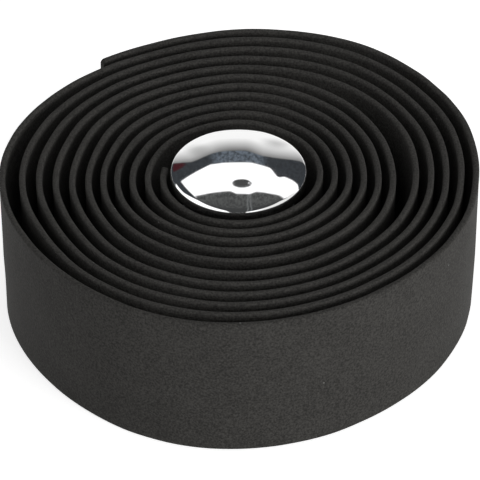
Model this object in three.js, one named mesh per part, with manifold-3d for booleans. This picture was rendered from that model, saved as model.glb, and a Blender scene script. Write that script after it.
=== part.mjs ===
import * as THREE from 'three';
import Module from 'manifold-3d';
import { mergeVertices } from 'three/addons/utils/BufferGeometryUtils.js';

// A roll of foam handlebar tape, standing on its edge, with a bar end plug in its core.
// Millimetres, +Z up. The surface that the roll stands on is Z = 0, and the origin is on it,
// under the middle of the roll. Angles are degrees, counter-clockwise from +X seen from above.

// The tape is one foam strip. Both long edges are thinned on the side that is wound inwards: first
// comes a thin flat lap, and then a slope up to the full thickness.
const TAPE_WIDTH = 30;
const TAPE_THICKNESS = 2.5;
const EDGE_THICKNESS = 1.2;
const EDGE_LAP = 2.5;
const EDGE_TAPER = 5.5;
const TAPE_COLOUR = 0x2e2e2d;

// The winding, from its inner end to its outer end.
const TURNS = 10.86;
const TURN_SLACK = 0.51;
const INNER_END_DEG = 178;
const STEPS_PER_TURN = 56;

// The core is wound a little wider than the plug needs. It and the middle turns lie a little off
// the middle, and the outer turns are out of round.
const CORE_SLACK = 0.3;
const CORE_SHIFT = 1.6;
const CORE_SHIFT_DEG = -90;
const MIDDLE_SHIFT = 0.49;
const MIDDLE_SHIFT_DEG = -54;
const CORE_OVAL = 0.27;
const RIM_OVAL = 0.87;
const OVAL_DEG = 45;
const RIM_THREE_LOBES = 0.59;
const THREE_LOBES_DEG = 45;
const RIM_FOUR_LOBES = 0.36;
const FOUR_LOBES_DEG = -18;

// One place is wound loosely: there, each turn inside it has given a share of its slack to one gap.
const GAP_SHARE = 0.57;
const GAP_AFTER_TURN = 6;
const GAP_OPENS_DEG = -53;
const GAP_FULL_DEG = 14;
const GAP_NARROWS_DEG = 18;
const GAP_CLOSES_DEG = 92;

// The plug's cap is a chromed dome with a rounded edge and a short skirt.
const CAP_OVERHANG = 3.25;
const DOME_RISE = 2;
const CAP_EDGE_ROUND = 1;
const CAP_SKIRT = 1.5;
const CAP_WALL = 0.8;
const CAP_ABOVE_TAPE = 0.5;
const CAP_SEGMENTS = 56;
const CAP_COLOUR = 0xd9dadc;

// The plug's stem is moulded: a flange under the cap, and a hollow barrel with barbs and slots.
const FLANGE_THICKNESS = 1.2;
const BARREL_RADIUS = 9.6;
const BARREL_WALL = 1.8;
const BARREL_NECK = 2.7;
const BARREL_ROOF = 2.5;
const BARREL_CHAMFER = 0.9;
const BARB_DEPTH = 1.2;
const BARB_COUNT = 4;
const BARB_HEIGHT = 2;
const BARB_LAND = 0.5;
const BARB_SPACE = 1.6;
const SLOT_WIDTH = 2;
const SLOT_STOP = 3.5;
const STEM_SEGMENTS = 40;
const STEM_COLOUR = 0x161617;

// Pieces that touch each other keep this clearance.
const SEAT_CLEARANCE = 0.3;

const FULL_TURN = Math.PI * 2;
const { degToRad, smoothstep } = THREE.MathUtils;

// How thick the tape is at a depth below its edge.
function thicknessAt(depth) {
  const share = THREE.MathUtils.clamp((depth - EDGE_LAP) / EDGE_TAPER, 0, 1);
  return THREE.MathUtils.lerp(EDGE_THICKNESS, TAPE_THICKNESS, share);
}

// The barrel fits the bore of a handlebar, and the cap overhangs it to cover the bar and the tape's end.
const CAP_RADIUS = BARREL_RADIUS + CAP_OVERHANG;
const BARB_RADIUS = BARREL_RADIUS + BARB_DEPTH;

// The first turn clears both the cap, whose skirt reaches down along the thinned edge, and the barbs.
const SKIRT_DEPTH = Math.max(CAP_SKIRT - CAP_ABOVE_TAPE, 0);
const START_RADIUS = SEAT_CLEARANCE + CORE_SLACK + Math.max(
  CAP_RADIUS + thicknessAt(SKIRT_DEPTH),
  BARB_RADIUS + TAPE_THICKNESS,
);
const TURN_PITCH = TAPE_THICKNESS + TURN_SLACK;

// How far the turns inside the loose place have sunk, at a number of turns from the inner end.
function sunkAt(turn) {
  const lap = Math.floor(turn);
  if (lap >= GAP_AFTER_TURN) return 0;
  const heading = INNER_END_DEG - 360 + 360 * (turn - lap);
  const opened = smoothstep(heading, GAP_OPENS_DEG, GAP_FULL_DEG);
  const closed = smoothstep(heading, GAP_NARROWS_DEG, GAP_CLOSES_DEG);
  return GAP_SHARE * TURN_SLACK * (lap + 1) * (opened - closed);
}

// The radius of the tape's outer face at a number of turns from the inner end.
function faceRadius(turn) {
  const heading = degToRad(INNER_END_DEG) + turn * FULL_TURN;
  const outward = turn / TURNS;
  const lobe = (count, direction) => Math.cos(count * (heading - degToRad(direction)));
  return START_RADIUS + TURN_PITCH * turn - sunkAt(turn)
    + CORE_SHIFT * (1 - outward) * lobe(1, CORE_SHIFT_DEG)
    + MIDDLE_SHIFT * 4 * outward * (1 - outward) * lobe(1, MIDDLE_SHIFT_DEG)
    + THREE.MathUtils.lerp(CORE_OVAL, RIM_OVAL, outward) * lobe(2, OVAL_DEG)
    + RIM_THREE_LOBES * outward ** 2 * lobe(3, THREE_LOBES_DEG)
    + RIM_FOUR_LOBES * outward ** 2 * lobe(4, FOUR_LOBES_DEG);
}

// The tape's section: x is the depth behind the outer face, y is the height. Both edges are alike.
function tapeSection() {
  const top = TAPE_WIDTH;
  const lower = [
    new THREE.Vector2(0, 0),
    new THREE.Vector2(EDGE_THICKNESS, 0),
    new THREE.Vector2(EDGE_THICKNESS, EDGE_LAP),
    new THREE.Vector2(TAPE_THICKNESS, EDGE_LAP + EDGE_TAPER),
  ];
  const upper = lower.map((point) => new THREE.Vector2(point.x, top - point.y)).reverse();
  return [...lower, ...upper];
}

// A closed solid through rings of points, each ring joined to the next one, with flat ends.
function loft(rings, section) {
  const count = section.length;
  const positions = rings.flat().flatMap((point) => point.toArray());
  const indices = [];
  for (let ring = 0; ring + 1 < rings.length; ring += 1) {
    for (let corner = 0; corner < count; corner += 1) {
      const next = (corner + 1) % count;
      const here = ring * count;
      const there = here + count;
      indices.push(here + corner, here + next, there + corner);
      indices.push(here + next, there + next, there + corner);
    }
  }
  const last = (rings.length - 1) * count;
  for (const [a, b, c] of THREE.ShapeUtils.triangulateShape(section, [])) {
    indices.push(a, c, b);
    indices.push(last + a, last + b, last + c);
  }
  const geometry = new THREE.BufferGeometry();
  geometry.setAttribute('position', new THREE.Float32BufferAttribute(positions, 3));
  geometry.setIndex(indices);
  geometry.computeVertexNormals();
  return geometry;
}

// The strip wound up. Every turn has its corners at the same headings, so that the turns nest.
function tapeGeometry() {
  const section = tapeSection();
  const rings = [];
  const steps = Math.ceil(TURNS * STEPS_PER_TURN);
  for (let step = 0; step <= steps; step += 1) {
    const turn = Math.min(step / STEPS_PER_TURN, TURNS);
    const heading = degToRad(INNER_END_DEG) + turn * FULL_TURN;
    const face = faceRadius(turn);
    rings.push(section.map(({ x: depth, y: height }) => new THREE.Vector3(
      (face - depth) * Math.cos(heading),
      (face - depth) * Math.sin(heading),
      height,
    )));
  }
  return loft(rings, section);
}

// The dome and the rounded edge meet smoothly. Heights on the plug are counted from the widest circle.
const DOME_EDGE = CAP_RADIUS - CAP_EDGE_ROUND;
const DOME_TOP = CAP_EDGE_ROUND + DOME_RISE;
const DOME_RADIUS = (DOME_TOP ** 2 + DOME_EDGE ** 2 - CAP_EDGE_ROUND ** 2) / (2 * DOME_RISE);
const DOME_CENTRE = DOME_TOP - DOME_RADIUS;

// The height of the dome's underside at a distance from the plug's axis.
function domeUnderside(distance) {
  return DOME_CENTRE + Math.sqrt((DOME_RADIUS - CAP_WALL) ** 2 - distance ** 2);
}

// A pressed shell: underside from the axis outwards, down the skirt, and back over the dome.
function capGeometry() {
  const inner = CAP_RADIUS - CAP_WALL;
  const undersideEnd = Math.acos(inner / (DOME_RADIUS - CAP_WALL));
  const edgeStart = Math.acos(DOME_EDGE / (DOME_RADIUS - CAP_EDGE_ROUND));
  const right = Math.PI / 2;
  const underside = new THREE.Path();
  underside.absarc(0, DOME_CENTRE, DOME_RADIUS - CAP_WALL, right, undersideEnd, true);
  const edge = new THREE.Path();
  edge.absarc(DOME_EDGE, 0, CAP_EDGE_ROUND, 0, edgeStart, false);
  const dome = new THREE.Path();
  dome.absarc(0, DOME_CENTRE, DOME_RADIUS, edgeStart, right, false);
  const [coarse, fine] = [2, 3];
  const profile = [
    ...underside.getPoints(coarse),
    new THREE.Vector2(inner, -CAP_SKIRT),
    new THREE.Vector2(CAP_RADIUS, -CAP_SKIRT),
    ...edge.getPoints(coarse),
    ...dome.getPoints(fine).slice(1),
  ];
  profile[0].x = 0;
  profile[profile.length - 1].x = 0;
  return new THREE.LatheGeometry(profile, CAP_SEGMENTS);
}

// The stem is turned first, with its barbs, and the slots that let the barbs spring are cut from it.
function stemGeometry(wasm) {
  const flangeRadius = CAP_RADIUS - CAP_WALL - SEAT_CLEARANCE;
  const flangeTop = domeUnderside(flangeRadius) - SEAT_CLEARANCE;
  const barrelTop = flangeTop - FLANGE_THICKNESS;
  const barrelRoof = barrelTop - BARREL_ROOF;
  const pitch = BARB_HEIGHT + BARB_SPACE;
  const barrelEnd = barrelTop - BARREL_NECK - BARB_COUNT * pitch - BARREL_CHAMFER;
  const bore = BARREL_RADIUS - BARREL_WALL;
  const barbs = [];
  for (let index = 0; index < BARB_COUNT; index += 1) {
    const start = barrelEnd + BARREL_CHAMFER + index * pitch;
    barbs.push(new THREE.Vector2(BARREL_RADIUS, start));
    barbs.push(new THREE.Vector2(BARB_RADIUS, start + BARB_HEIGHT - BARB_LAND));
    barbs.push(new THREE.Vector2(BARB_RADIUS, start + BARB_HEIGHT));
    barbs.push(new THREE.Vector2(BARREL_RADIUS, start + BARB_HEIGHT));
  }
  const profile = [
    new THREE.Vector2(0, barrelRoof),
    new THREE.Vector2(bore, barrelRoof),
    new THREE.Vector2(bore, barrelEnd),
    new THREE.Vector2(BARREL_RADIUS - BARREL_CHAMFER, barrelEnd),
    ...barbs,
    new THREE.Vector2(BARREL_RADIUS, barrelTop),
    new THREE.Vector2(flangeRadius, barrelTop),
    new THREE.Vector2(flangeRadius, flangeTop),
    new THREE.Vector2(0, flangeTop),
  ];
  let stem = solid(wasm, new THREE.LatheGeometry(profile, STEM_SEGMENTS));
  const slotLength = barrelRoof - SLOT_STOP - barrelEnd;
  for (const direction of [45, 135]) {
    const cutter = new THREE.BoxGeometry(3 * BARB_RADIUS, 2 * slotLength, SLOT_WIDTH);
    cutter.rotateY(degToRad(direction));
    cutter.translate(0, barrelEnd, 0);
    stem = stem.subtract(solid(wasm, cutter));
  }
  return surface(stem);
}

// A geometry made into a solid that can be cut, with its shared corners merged.
function solid(wasm, geometry) {
  const bare = geometry.clone();
  bare.deleteAttribute('normal');
  bare.deleteAttribute('uv');
  const merged = mergeVertices(bare, 1e-4);
  return new wasm.Manifold(new wasm.Mesh({
    numProp: 3,
    vertProperties: new Float32Array(merged.attributes.position.array),
    triVerts: new Uint32Array(merged.index.array),
  }));
}

// A solid turned back into a geometry.
function surface(body) {
  const mesh = body.getMesh();
  const geometry = new THREE.BufferGeometry();
  geometry.setAttribute('position', new THREE.Float32BufferAttribute(mesh.vertProperties, 3));
  geometry.setIndex(new THREE.Uint32BufferAttribute(mesh.triVerts, 1));
  geometry.computeVertexNormals();
  return geometry;
}

// One named piece with its own material.
function piece(name, geometry, colour, roughness, metalness) {
  const material = new THREE.MeshStandardMaterial({ color: colour, roughness, metalness });
  const mesh = new THREE.Mesh(geometry, material);
  mesh.name = name;
  return mesh;
}

const wasm = await Module();
wasm.setup();

const tape = piece('tape', tapeGeometry(), TAPE_COLOUR, 0.9, 0);
const cap = piece('plug_cap', capGeometry(), CAP_COLOUR, 0.06, 1);
const stem = piece('plug_stem', stemGeometry(wasm), STEM_COLOUR, 0.5, 0);

// The plug stands upright on the centre of the core. A lathe's axis is Y, so the plug is stood up.
const plug = new THREE.Group();
plug.add(cap, stem);
plug.rotation.x = Math.PI / 2;
plug.position.set(
  CORE_SHIFT * Math.cos(degToRad(CORE_SHIFT_DEG)),
  CORE_SHIFT * Math.sin(degToRad(CORE_SHIFT_DEG)),
  TAPE_WIDTH + CAP_ABOVE_TAPE,
);

// The whole roll is moved so that its outline is centred over the origin.
const roll = new THREE.Group();
roll.add(tape, plug);
tape.geometry.computeBoundingBox();
const middle = tape.geometry.boundingBox.getCenter(new THREE.Vector3());
roll.position.set(-middle.x, -middle.y, 0);

export default roll;
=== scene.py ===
import math

import bmesh
import bpy
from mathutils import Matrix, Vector


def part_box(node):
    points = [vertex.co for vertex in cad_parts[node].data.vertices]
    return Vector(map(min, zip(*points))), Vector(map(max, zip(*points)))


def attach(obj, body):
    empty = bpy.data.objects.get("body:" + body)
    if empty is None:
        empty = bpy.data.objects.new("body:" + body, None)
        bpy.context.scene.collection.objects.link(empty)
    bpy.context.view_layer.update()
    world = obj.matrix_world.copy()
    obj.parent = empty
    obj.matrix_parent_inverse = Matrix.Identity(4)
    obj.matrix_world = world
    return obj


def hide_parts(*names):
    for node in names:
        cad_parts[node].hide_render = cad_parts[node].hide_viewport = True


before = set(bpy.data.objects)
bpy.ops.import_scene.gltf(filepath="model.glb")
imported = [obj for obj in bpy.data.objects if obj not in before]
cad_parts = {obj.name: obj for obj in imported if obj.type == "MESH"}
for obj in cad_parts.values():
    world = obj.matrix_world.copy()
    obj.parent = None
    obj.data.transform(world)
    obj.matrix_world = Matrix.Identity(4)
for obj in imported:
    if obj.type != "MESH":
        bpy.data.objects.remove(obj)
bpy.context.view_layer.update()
bpy.ops.object.select_all(action="DESELECT")


# The tape: one strip of black closed-cell foam, about two metres long. Both long edges are thinned
# on the back, to a flat lip and a slope, so that the turns lap on a bar. It is wound up by hand.
tape_width = 0.030
tape_thickness = 0.0025
edge_thickness = 0.0012
edge_lap = 0.0025
edge_taper = 0.0055
outer_corner_round = 0.00035
inner_corner_round = 0.0005
end_round = 0.0013

turns = 10.86
turn_slack = 0.00051
turn_pitch = tape_thickness + turn_slack
first_radius = 0.01465
inner_end = math.radians(178)
points_per_turn = 180
core_shift = 0.0016
turns_that_sank = 6
slack_they_gave = 0.57
loose_place_opens = (-53, 14)
loose_place_closes = (18, 92)
springing_out = 0.00078
smooth_angle = math.radians(40)


def smooth_step(value, start, end):
    """A share that goes from 0 to 1 as a value goes from start to end."""
    share = min(max((value - start) / (end - start), 0), 1)
    return share * share * (3 - 2 * share)


def sunk_turns(turn):
    """How far the turns inside the loose place, on the right, have sunk towards the core."""
    lap = math.floor(turn)
    if lap >= turns_that_sank:
        return 0
    heading = math.degrees(inner_end) - 360 + 360 * (turn - lap)
    opened = smooth_step(heading, *loose_place_opens) - smooth_step(heading, *loose_place_closes)
    return slack_they_gave * turn_slack * (lap + 1) * opened


def passing(turn, direction, reach):
    """A share that is 1 where the winding passes a direction, and falls to 0 on both sides of it."""
    heading = math.degrees(inner_end) + 360 * turn
    off = abs((heading - direction + 180) % 360 - 180)
    return 1 - smooth_step(off, 0.4 * reach, reach)


def wound_radius(turn):
    """The radius of the tape's outer face, at a number of turns from its inner end."""
    heading = inner_end + turn * math.tau
    outward = turn / turns
    radius = first_radius + turn_pitch * turn - sunk_turns(turn)

    # The core and the middle turns lie off the middle, and the outer turns are out of round.
    for height, bulges, direction in (
            (core_shift * (1 - outward), 1, -90),
            (0.00049 * 4 * outward * (1 - outward), 1, -54),
            (0.00027 + 0.0006 * outward + 0.00024 * outward ** 2, 2, 43),
            (0.00067 * outward ** 2, 3, 50),
            (0.0004 * outward ** 2, 4, -11),
            (0.00015 * outward ** 2, 5, 38.5)):
        radius += height * math.cos(bulges * (heading - math.radians(direction)))

    # The turns bulge at the back, and are pressed in at the front and on the left.
    held_turns = 1 - smooth_step(turn, 9.75, 9.95) + 0.2 * smooth_step(turn, 10.2, 10.6)
    inner_turns = smooth_step(turn, -0.8, 2.8) - smooth_step(turn, 3.5, 6)
    outer_turns = smooth_step(turn, 2.5, 5) - smooth_step(turn, 9.3, 9.9)
    for height, direction, reach, share in (
            (0.0006, 110, 60, held_turns),
            (-0.0011, -85, 75, inner_turns),
            (-0.0006, -171, 42, outer_turns)):
        radius += height * passing(turn, direction, reach) * share

    # Where the outer turn stops holding it, the turn inside springs out.
    past_end = turn - (turns - 1)
    sprung = smooth_step(past_end, -0.05, 0.05) - smooth_step(past_end, 0.05, 0.13)
    return radius + springing_out * sprung


winding = []
for step in range(round(turns * points_per_turn) + 1):
    turn = min(step / points_per_turn, turns)
    heading = inner_end + turn * math.tau
    radius = wound_radius(turn)
    winding.append(Vector((radius * math.cos(heading), radius * math.sin(heading), 0)))

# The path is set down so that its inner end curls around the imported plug.
cap_low, cap_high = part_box("plug_cap")
winding_centre = (cap_low + cap_high) / 2 + Vector((0, core_shift, 0))
winding_centre.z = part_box("tape")[0].z
winding = [point + winding_centre for point in winding]
strip_length = sum((end - start).length for start, end in zip(winding, winding[1:]))

path = bpy.data.curves.new("winding_path", "CURVE")
path.dimensions = "2D"
path.use_stretch = True
path.use_deform_bounds = True
spline = path.splines.new("POLY")
spline.points.add(len(winding) - 1)
for point, spot in zip(spline.points, winding):
    point.co = (*spot, 1)
winding_path = bpy.data.objects.new("winding_path", path)
bpy.context.collection.objects.link(winding_path)


def pick(piece, element, test):
    """Selects, in edit mode, the vertices, edges or faces of a piece that pass a test."""
    bpy.ops.mesh.select_mode(type=element)
    bpy.ops.mesh.select_all(action="DESELECT")
    shape = bmesh.from_edit_mesh(piece.data)
    parts = {"VERT": shape.verts, "EDGE": shape.edges, "FACE": shape.faces}[element]
    for part in parts:
        if test(part):
            part.select_set(True)
    bmesh.update_edit_mesh(piece.data)


# The strip's section comes first: a plane across the strip, cut where the lip and the slope end.
mid_height = tape_width / 2
at_edge = 0.49 * tape_width
bpy.ops.mesh.primitive_plane_add(size=1, rotation=(0, math.radians(90), 0))
tape = bpy.context.object
tape.name = "foam_tape"
tape.location = (0, tape_thickness / 2, mid_height)
tape.scale = (tape_width, tape_thickness, 1)
bpy.ops.object.transform_apply()
bpy.ops.object.mode_set(mode="EDIT")
for depth in (edge_lap, edge_lap + edge_taper):
    for height in (depth, tape_width - depth):
        bpy.ops.mesh.select_all(action="SELECT")
        bpy.ops.mesh.bisect(plane_co=(0, 0, height), plane_no=(0, 0, 1))

# The inner side is moved in at both lips, and the corners of the edges are rounded.
pick(tape, "VERT", lambda vert: vert.co.y > 0.9 * tape_thickness
     and abs(vert.co.z - mid_height) > mid_height - 1.1 * edge_lap)
bpy.ops.transform.translate(value=(0, edge_thickness - tape_thickness, 0))
pick(tape, "VERT", lambda vert: vert.co.y > 0.9 * edge_thickness
     and abs(vert.co.z - mid_height) > at_edge)
bpy.ops.mesh.bevel(offset=inner_corner_round, segments=3, affect="VERTICES")
pick(tape, "VERT", lambda vert: vert.co.y < 1e-6 and abs(vert.co.z - mid_height) > at_edge)
bpy.ops.mesh.bevel(offset=outer_corner_round, segments=3, affect="VERTICES")

# A few more cuts across the section let it follow the uneven pull.
for depth in (0.0008, 0.005, 0.012):
    for height in (depth, tape_width - depth):
        bpy.ops.mesh.select_all(action="SELECT")
        bpy.ops.mesh.bisect(plane_co=(0, 0, height), plane_no=(0, 0, 1))

# The section is drawn out to the strip's length. The edges that run along the strip are then cut
# in a hundred parts, and each part in fourteen, so that it can bend.
shortest_run = 0.001
bpy.ops.mesh.select_mode(type="FACE")
bpy.ops.mesh.select_all(action="SELECT")
bpy.ops.mesh.extrude_region_move(TRANSFORM_OT_translate={"value": (strip_length, 0, 0)})
for parts in (100, 14):
    pick(tape, "EDGE", lambda edge: abs(edge.verts[0].co.x - edge.verts[1].co.x) > shortest_run)
    bpy.ops.mesh.subdivide(number_cuts=parts - 1)

# The cut outer end has lost its sharp corners: three slanting cuts round each of them.
for degrees in (22.5, 45, 67.5):
    angle = math.radians(degrees)
    for upward in (1, -1):
        facing = Vector((math.cos(angle), 0, upward * math.sin(angle)))
        middle = Vector((strip_length - end_round, 0, mid_height))
        middle.z += upward * (mid_height - end_round)
        bpy.ops.mesh.select_all(action="SELECT")
        bpy.ops.mesh.bisect(plane_co=middle + end_round * facing, plane_no=facing, use_fill=True,
                            clear_outer=True)
bpy.ops.mesh.select_all(action="SELECT")
bpy.ops.mesh.normals_make_consistent(inside=False)
pick(tape, "VERT", lambda vert: vert.co.z > 0.6 * tape_width)
bpy.ops.object.vertex_group_assign_new()
tape.vertex_groups[0].name = "upper_part"
bpy.ops.object.mode_set(mode="OBJECT")

# It is wound up, and the uneven pull of the hands is pressed into it. Only the upper part also
# rises and falls, so that the lower edge stays on the floor.
uneven_pull = 0.0005
curl = tape.modifiers.new("winding", "CURVE")
curl.object = winding_path
curl.deform_axis = "POS_X"
bpy.ops.object.modifier_apply(modifier=curl.name)
bpy.data.objects.remove(winding_path)
for direction, patch_size, group in (
        ("X", 0.019, ""),
        ("Y", 0.023, ""),
        ("Z", 0.017, "upper_part")):
    patches = bpy.data.textures.new("uneven_pull", "CLOUDS")
    patches.noise_scale = patch_size
    uneven = tape.modifiers.new("uneven", "DISPLACE")
    uneven.texture = patches
    uneven.texture_coords = "LOCAL"
    uneven.direction = direction
    uneven.vertex_group = group
    uneven.strength = uneven_pull
    bpy.ops.object.modifier_apply(modifier=uneven.name)
bpy.ops.object.shade_smooth_by_angle(angle=smooth_angle)


def node_maker(tree):
    """A function that adds a node to a tree, with its settings, and its inputs set or linked."""
    def add_node(kind, inputs=None, **settings):
        node = tree.nodes.new(kind)
        for key, value in settings.items():
            setattr(node, key, value)
        for key, value in (inputs or {}).items():
            if isinstance(value, bpy.types.NodeSocket):
                tree.links.new(value, node.inputs[key])
            else:
                node.inputs[key].default_value = value
        return node

    return add_node


def new_material(name):
    """A material with one Principled shader, and what adds its nodes and links them."""
    material = bpy.data.materials.new(name)
    material.use_nodes = True
    tree = material.node_tree
    return material, tree.nodes["Principled BSDF"], node_maker(tree), tree.links.new


# The foam is matt and nearly black, with a fine grain, a faint mottle and a few pale specks.
foam, shader, add, link = new_material("foam")
place = add("ShaderNodeTexCoord").outputs["Object"]
grain = add("ShaderNodeTexNoise", {"Vector": place, "Scale": 2500, "Detail": 2, "Roughness": 0.6})
cells = add("ShaderNodeTexVoronoi", {"Vector": place, "Scale": 2600}, feature="SMOOTH_F1")
mottle = add("ShaderNodeTexNoise", {"Vector": place, "Scale": 110, "Detail": 3})
tone = add("ShaderNodeMath", {0: grain.outputs["Fac"], 1: 0.87}, operation="MULTIPLY")
tone = add("ShaderNodeMath", {0: mottle.outputs["Fac"], 1: 0.13, 2: tone.outputs[0]},
           operation="MULTIPLY_ADD")
shade = add("ShaderNodeMapRange", {"Value": tone.outputs[0], "From Min": 0.36, "From Max": 0.64})
colour = add("ShaderNodeMix", {"Factor": shade.outputs["Result"], "A": (0.0205, 0.0198, 0.0185, 1),
                               "B": (0.0555, 0.0535, 0.0503, 1)}, data_type="RGBA")
speck = add("ShaderNodeTexVoronoi", {"Vector": place, "Scale": 260})
fleck = add("ShaderNodeMapRange", {"Value": speck.outputs["Distance"], "From Min": 0.03,
                                   "From Max": 0.06, "To Min": 1, "To Max": 0})
chosen = add("ShaderNodeSeparateColor", {"Color": speck.outputs["Color"]})
chosen = add("ShaderNodeMath", {0: chosen.outputs[0], 1: 0.78}, operation="GREATER_THAN")
fleck = add("ShaderNodeMath", {0: fleck.outputs["Result"], 1: chosen.outputs[0]},
            operation="MULTIPLY")
colour = add("ShaderNodeMix", {"Factor": fleck.outputs[0], "A": colour.outputs["Result"],
                               "B": (0.15, 0.15, 0.145, 1)}, data_type="RGBA")
link(colour.outputs["Result"], shader.inputs["Base Color"])
gloss = add("ShaderNodeMapRange", {"Value": grain.outputs["Fac"], "To Min": 0.72, "To Max": 0.9})
link(gloss.outputs["Result"], shader.inputs["Roughness"])
relief = add("ShaderNodeMath", {0: grain.outputs["Fac"], 1: cells.outputs["Distance"]}, operation="ADD")
bump = add("ShaderNodeBump", {"Height": relief.outputs[0], "Strength": 0.6, "Distance": 0.00009})
link(bump.outputs["Normal"], shader.inputs["Normal"])
shader.inputs["Specular IOR Level"].default_value = 0.14
tape.data.materials.append(foam)

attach(tape, "root")
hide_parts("tape")


# The plug's cap: a thin shell of metal, pressed to a low dome with a rounded edge and a short
# skirt, and chromed. It is pressed over the flange of the stem, and covers the bar's open end.

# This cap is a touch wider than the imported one, and a touch further to the left and the front.
wider = 0.00015
leftward = 0.00005
forward = 0.0002
cap_radius = (cap_high.x - cap_low.x) / 2 + wider
plug_x = (cap_low.x + cap_high.x) / 2 - leftward
plug_y = (cap_low.y + cap_high.y) / 2 - forward
cap_wall = 0.0008
edge_round = 0.001
cap_skirt = 0.0015
dome_rise = 0.002
rim_height = cap_low.z + cap_skirt
dome_edge = cap_radius - edge_round
dome_top = edge_round + dome_rise
dome_radius = (dome_top ** 2 + dome_edge ** 2 - edge_round ** 2) / (2 * dome_rise)
dome_centre = rim_height + dome_top - dome_radius
edge_start = math.acos(dome_edge / (dome_radius - edge_round))

# The dome is the top of a ball. Its edge is drawn out step by step, round and down to the skirt.
bpy.ops.object.select_all(action="DESELECT")
bpy.ops.mesh.primitive_uv_sphere_add(segments=160, ring_count=180, radius=dome_radius,
                                     location=(plug_x, plug_y, dome_centre))
cap = bpy.context.object
cap.name = "chromed_cap"
bpy.ops.object.transform_apply()
bpy.ops.object.mode_set(mode="EDIT")
bpy.ops.mesh.select_all(action="SELECT")
dome_foot = dome_centre + dome_radius * math.sin(edge_start)
bpy.ops.mesh.bisect(plane_co=(0, 0, dome_foot), plane_no=(0, 0, 1), clear_inner=True)
pick(cap, "EDGE", lambda edge: edge.is_boundary)
edge_steps = 10
here = (dome_radius * math.cos(edge_start), dome_foot)
for step in range(1, edge_steps + 2):
    angle = edge_start * max(1 - step / edge_steps, 0)
    there = (dome_edge + edge_round * math.cos(angle), rim_height + edge_round * math.sin(angle))
    if step > edge_steps:
        there = (cap_radius, rim_height - cap_skirt)
    bpy.ops.mesh.extrude_edges_move(
        TRANSFORM_OT_translate={"value": (0, 0, there[1] - here[1])})
    spread = there[0] / here[0]
    bpy.ops.transform.resize(value=(spread, spread, 1), center_override=(plug_x, plug_y, 0))
    here = there
bpy.ops.mesh.select_all(action="SELECT")
bpy.ops.mesh.normals_make_consistent(inside=False)
bpy.ops.object.mode_set(mode="OBJECT")
wall = cap.modifiers.new("wall", "SOLIDIFY")
wall.thickness = cap_wall
wall.offset = -1
bpy.ops.object.modifier_apply(modifier=wall.name)
bpy.ops.object.shade_smooth_by_angle(angle=smooth_angle)

# The chrome is bright, with slight changes of polish and the faint waves of the pressed metal.
chrome, shader, add, link = new_material("chrome")
place = add("ShaderNodeTexCoord").outputs["Object"]
polish = add("ShaderNodeTexNoise", {"Vector": place, "Scale": 900, "Detail": 4})
gloss = add("ShaderNodeMapRange", {"Value": polish.outputs["Fac"], "From Min": 0.3, "From Max": 0.8,
                                   "To Min": 0.03, "To Max": 0.07})
link(gloss.outputs["Result"], shader.inputs["Roughness"])
pressing = add("ShaderNodeTexNoise", {"Vector": place, "Scale": 260, "Detail": 1})
bump = add("ShaderNodeBump", {"Height": pressing.outputs["Fac"], "Strength": 1, "Distance": 0.000006})
link(bump.outputs["Normal"], shader.inputs["Normal"])
shader.inputs["Base Color"].default_value = (0.8, 0.8, 0.81, 1)
shader.inputs["Metallic"].default_value = 1
cap.data.materials.append(chrome)

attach(cap, "root")
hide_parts("plug_cap")


# The plug's stem: moulded in black plastic, with a flange that the cap is pressed on, and a slotted,
# barbed barrel that grips the inside of the bar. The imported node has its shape.
plastic, shader, add, link = new_material("black_plastic")
place = add("ShaderNodeTexCoord").outputs["Object"]
texture = add("ShaderNodeTexNoise", {"Vector": place, "Scale": 3000, "Detail": 2})
streaks = add("ShaderNodeTexNoise", {"Vector": place, "Scale": 300, "Detail": 3})
colour = add("ShaderNodeMix", {"Factor": streaks.outputs["Fac"], "A": (0.009, 0.009, 0.010, 1),
                               "B": (0.017, 0.017, 0.018, 1)}, data_type="RGBA")
link(colour.outputs["Result"], shader.inputs["Base Color"])
gloss = add("ShaderNodeMapRange", {"Value": streaks.outputs["Fac"], "To Min": 0.35, "To Max": 0.55})
link(gloss.outputs["Result"], shader.inputs["Roughness"])
bump = add("ShaderNodeBump", {"Height": texture.outputs["Fac"], "Strength": 0.3, "Distance": 0.00004})
link(bump.outputs["Normal"], shader.inputs["Normal"])
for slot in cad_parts["plug_stem"].material_slots:
    slot.material = plastic


# The floor: a plain white sheet. The camera and the chrome see it as white around the roll, and it
# keeps the roll's shadow. It lies just below the roll, so that their faces don't coincide.
floor_size = 8
floor_height = -0.00002
bpy.ops.object.select_all(action="DESELECT")
bpy.ops.mesh.primitive_plane_add(size=floor_size, location=(0, 0, floor_height))
floor = bpy.context.object
floor.name = "floor"
bpy.ops.object.transform_apply()
paper, shader, add, link = new_material("white_paper")
fibre = add("ShaderNodeTexNoise", {"Scale": 3})
shade = add("ShaderNodeMapRange", {"Value": fibre.outputs["Fac"], "To Min": 0.78, "To Max": 0.8})
link(shade.outputs["Result"], shader.inputs["Base Color"])
shader.inputs["Roughness"].default_value = 1
shader.inputs["Specular IOR Level"].default_value = 0
rays = add("ShaderNodeLightPath")
seen = add("ShaderNodeMath", {0: rays.outputs["Is Camera Ray"], 1: rays.outputs["Is Glossy Ray"]},
           operation="MAXIMUM")
seen = add("ShaderNodeMath", {0: seen.outputs[0], 1: rays.outputs["Is Transmission Ray"]},
           operation="MAXIMUM")

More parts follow.
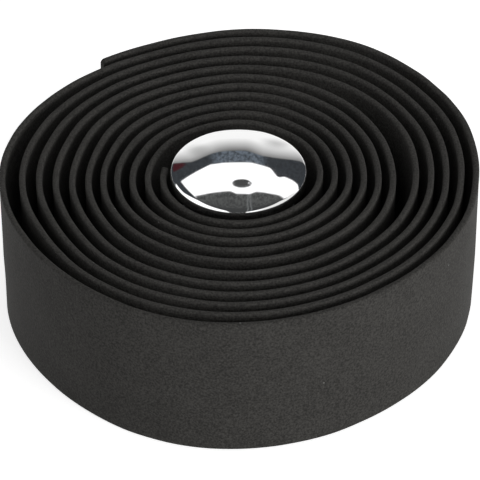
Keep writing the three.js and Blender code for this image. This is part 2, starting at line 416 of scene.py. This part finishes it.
# Under the roll the floor isn't lifted to white, so that nothing shines up between the turns.
roll_reach = 0.042
clear_of_roll = 0.044
white_lift = 0.64
place = add("ShaderNodeTexCoord").outputs["Object"]
from_roll = add("ShaderNodeVectorMath", {0: place}, operation="LENGTH")
open_floor = add("ShaderNodeMapRange", {"Value": from_roll.outputs["Value"], "From Min": roll_reach,
                                        "From Max": clear_of_roll, "To Max": white_lift})
lift = add("ShaderNodeMath", {0: seen.outputs[0], 1: open_floor.outputs["Result"]},
           operation="MULTIPLY")
link(lift.outputs[0], shader.inputs["Emission Strength"])
shader.inputs["Emission Color"].default_value = (1, 1, 1, 1)
floor.data.materials.append(paper)


# The light: a white tent, a little brighter on the right, and one soft box low at the front right.
# Only reflections show the tent's parts: a white wall at the back, a dark gap above it, a white box
# overhead, and a dark opening for the camera.
world = bpy.data.worlds.new("tent")
bpy.context.scene.world = world
world.use_nodes = True
world.node_tree.nodes.clear()
knot = node_maker(world.node_tree)


def reckon(operation, *values):
    """One step of arithmetic on values that vary over the tent."""
    return knot("ShaderNodeMath", dict(enumerate(values)), operation=operation).outputs[0]


def total(*values):
    """The sum of values that vary over the tent."""
    return values[0] if len(values) == 1 else reckon("ADD", total(*values[:-1]), values[-1])


def rise(value, start, end, low=0.0, high=1.0, shape="SMOOTHSTEP"):
    """A step from low to high, as a value goes from start to end."""
    return knot("ShaderNodeMapRange", {"Value": value, "From Min": start, "From Max": end,
                                       "To Min": low, "To Max": high},
                interpolation_type=shape).outputs["Result"]


def blend(share, below, above):
    """One colour laid over another by a share."""
    return knot("ShaderNodeMix", {"Factor": share, "A": below, "B": above},
                data_type="RGBA").outputs["Result"]


def away(across, along, half_across, half_along, side_at, back_at):
    """How far a direction is from an oval's middle: it is 1 on the oval's edge."""
    offsets = (reckon("DIVIDE", reckon("SUBTRACT", across, side_at), half_across),
               reckon("DIVIDE", reckon("SUBTRACT", along, back_at), half_along))
    return reckon("SQRT", total(*(reckon("MULTIPLY", offset, offset) for offset in offsets)))


# Directions are counted in degrees from straight overhead: side is towards +X, back towards +Y.
sight = knot("ShaderNodeTexCoord").outputs["Generated"]
east, north, up = knot("ShaderNodeSeparateXYZ", {"Vector": sight}).outputs
level = reckon("SQRT", reckon("MAXIMUM", reckon("SUBTRACT", 1.0, reckon("MULTIPLY", up, up)), 1e-6))
spread = reckon("DIVIDE", reckon("DEGREES", reckon("ARCCOSINE", up)), level)
side = reckon("MULTIPLY", east, spread)
back = reckon("MULTIPLY", north, spread)
aside = reckon("ABSOLUTE", side)

# What is dark, in the gap and in the opening, is lightly crumpled.
crumple = knot("ShaderNodeMapping", {"Vector": sight, "Scale": (1, 0.4, 0.4)}).outputs[0]
crumple = knot("ShaderNodeTexNoise", {"Vector": crumple, "Scale": 60, "Detail": 3}).outputs["Fac"]

# The gap behind the roof is dark, and bluish in its middle. Something red shows at its left end.
gap = blend(rise(aside, 8, 13), (0.16, 0.19, 0.225, 1), (0.05, 0.056, 0.062, 1))
gap = blend(rise(crumple, 0.35, 0.6, 0.8, 0), gap, (0.035, 0.038, 0.042, 1))
red = rise(away(side, back, 6, 4.5, -28, 56.5), 0.7, 1.15, 1, 0)
tent = blend(red, gap, (0.062, 0.016, 0.02, 1))

# The back wall is white below and grey towards its uneven top. Two soft folds hang in it.
wall_top = total(56.3, rise(side, -20, -7, 0, 5.4), rise(side, 2, 11, 0, -3.9),
                 rise(side, 14, 28, 0, 4.3), rise(side, -60, -20, 24, 0, "LINEAR"))
below = reckon("SUBTRACT", back, wall_top)
shade = reckon("MULTIPLY", rise(aside, 4, 10, 0, 0.1, "LINEAR"), rise(below, 5, 15, 1, 0, "LINEAR"))
shade = total(shade, rise(below, 0, 15.5, 0.16, 1.14, "LINEAR"))
slant = total(side, reckon("MULTIPLY", below, 0.25))
left_fold = rise(away(slant, below, 4.5, 9, -13.5, 11), 0.1, 1.3, 0.7, 1)
shade = reckon("MULTIPLY", shade, left_fold)
right_fold = rise(away(side, below, 6, 7, 14, 17), 0, 1.3, 0.6, 1)
shade = reckon("MULTIPLY", shade, right_fold)
shade = knot("ShaderNodeCombineColor", {0: shade, 1: shade, 2: reckon("MULTIPLY", shade, 0.985)})
wall_end = reckon("MINIMUM", rise(back, 60, 75, 26, 50, "LINEAR"), 48)
back_wall = rise(reckon("SUBTRACT", aside, wall_end), -1.5, 1.5, 1, 0)
back_wall = reckon("MULTIPLY", rise(below, -0.6, 0.6), back_wall)
tent = blend(back_wall, tent, shade.outputs[0])

# The roof is a white box with a slanting left end. White sides come down on the left and at the
# front left. At the front right it is less bright.
roof_edge = total(50, rise(side, -72, -12, -37.2, 0, "LINEAR"), rise(side, 6, 66, 0, -20.4, "LINEAR"),
                  rise(side, 24, 34, 0, -3, "LINEAR"), rise(side, 13.2, 17.8, 0, -5),
                  rise(side, 17.9, 21, 0, 2.4))
roof = rise(reckon("SUBTRACT", back, roof_edge), -0.6, 0.6, 1, 0)
slant = total(side, reckon("MULTIPLY", back, 0.25))
roof = reckon("MULTIPLY", roof, rise(slant, -16.4, -15.2))
left_side = reckon("MULTIPLY", rise(side, -56, -50, 1, 0), rise(back, 34, 37, 1, 0))
front_side = reckon("MULTIPLY", rise(side, -20, -10, 1, 0), rise(back, 12, 18, 1, 0))
roof = reckon("MAXIMUM", reckon("MAXIMUM", roof, left_side), front_side)
dimmer = reckon("MULTIPLY", rise(side, 28, 50), rise(back, 5, 25, 1, 0))
tent = blend(roof, tent, blend(dimmer, (1.5, 1.5, 1.5, 1), (1, 1, 0.98, 1)))

# A dark boom's round end shows in the roof, with a bright ring at its tip.
boom = rise(away(side, back, 4.5, 3.4, 1.55, 32.3), 0.92, 1.07, 1, 0)
tent = blend(boom, tent, (0.075, 0.077, 0.076, 1))
ring = reckon("ABSOLUTE", reckon("SUBTRACT", away(side, back, 1, 1, 5.4, 32.7), 0.8))
tent = blend(rise(ring, 0.1, 0.4, 1, 0), tent, (0.8, 0.8, 0.8, 1))

# The opening for the camera is dark. It starts a little behind straight overhead and runs down the
# front, with both its sides bowed out. Two pale poles stand in it.
opening_end = total(26.4, rise(side, -4.5, -0.5, 0, -2.1), rise(side, 4.5, 9, 0, 2.2))
bow = reckon("DIVIDE", total(back, 12), 12.57)
left_side = reckon("MAXIMUM", reckon("SUBTRACT", 30, reckon("MULTIPLY", bow, bow)), 20)
bow = reckon("MAXIMUM", reckon("DIVIDE", total(back, 14), 8.37),
             reckon("DIVIDE", total(back, 14), -11.18))
right_side = reckon("MAXIMUM", reckon("SUBTRACT", 43, reckon("MULTIPLY", bow, bow)), 16)
notch = rise(reckon("ABSOLUTE", reckon("SUBTRACT", back, 2)), 0, 8, 12, 0)
right_side = total(right_side, notch)
on_right = reckon("GREATER_THAN", side, 0)
right_share = reckon("MULTIPLY", right_side, on_right)
left_share = reckon("MULTIPLY", left_side, reckon("SUBTRACT", 1, on_right))
half_width = total(right_share, left_share)
opening = rise(reckon("SUBTRACT", aside, half_width), -1.5, 1.5, 1, 0)
opening = reckon("MULTIPLY", opening, rise(reckon("SUBTRACT", back, opening_end), -0.5, 0.5, 1, 0))
near = reckon("MAXIMUM", reckon("SUBTRACT", 17, back), 0)
pole = reckon("SUBTRACT", reckon("SUBTRACT", side, 4.45), reckon("MULTIPLY", near, 0.138))
pole = reckon("DIVIDE", pole, total(1, reckon("MULTIPLY", near, 0.048)))
pole = reckon("ABSOLUTE", reckon("SUBTRACT", reckon("ABSOLUTE", reckon("SUBTRACT", pole, 0.7)), 0.7))
inside = blend(rise(back, 0, 22), (0.068, 0.07, 0.07, 1), (0.118, 0.121, 0.118, 1))
inside = blend(rise(crumple, 0.35, 0.62, 0.8, 0), inside, (0.045, 0.047, 0.047, 1))
inside = blend(rise(pole, 0.15, 0.45, 0.8, 0), inside, (0.2, 0.21, 0.21, 1))
tent = blend(opening, tent, inside)

# The foam and the floor are lit by plain white. The camera sees white behind everything.
rays = knot("ShaderNodeLightPath").outputs
plain = rise(east, -1, 1, 0.46, 0.64, "LINEAR")
plain = knot("ShaderNodeBackground", {"Color": (1, 1, 1, 1), "Strength": plain}).outputs[0]
mirrored = knot("ShaderNodeBackground", {"Color": tent, "Strength": 1.0}).outputs[0]
white = knot("ShaderNodeBackground", {"Color": (1, 1, 1, 1), "Strength": 1.0}).outputs[0]
light = knot("ShaderNodeMixShader", {0: rays["Is Glossy Ray"], 1: plain, 2: mirrored}).outputs[0]
light = knot("ShaderNodeMixShader", {0: rays["Is Camera Ray"], 1: light, 2: white}).outputs[0]
knot("ShaderNodeOutputWorld", {"Surface": light})

roll_middle = Vector((0, 0, 0.02))
bpy.ops.object.light_add(type="AREA", location=(0.7, -0.7, 0.28))
soft_box = bpy.context.object
soft_box.name = "soft_box"
soft_box.data.shape = "SQUARE"
soft_box.data.size = 0.5
soft_box.data.energy = 6.4
towards_roll = roll_middle - soft_box.location
soft_box.rotation_euler = towards_roll.to_track_quat("-Z", "Y").to_euler()
soft_box.visible_glossy = False


# The camera stands where the photograph was taken from: in front of the roll and above it.
looking_down = 38.7247
bpy.ops.object.camera_add(location=(-0.000245, -0.422698, 0.351191),
                          rotation=(math.radians(90 - looking_down), 0, 0))
camera = bpy.context.object
camera.data.lens = 208.92
camera.data.sensor_width = 36
camera.data.clip_start = 0.01
bpy.context.scene.camera = camera
bpy.context.scene.view_settings.view_transform = "Standard"
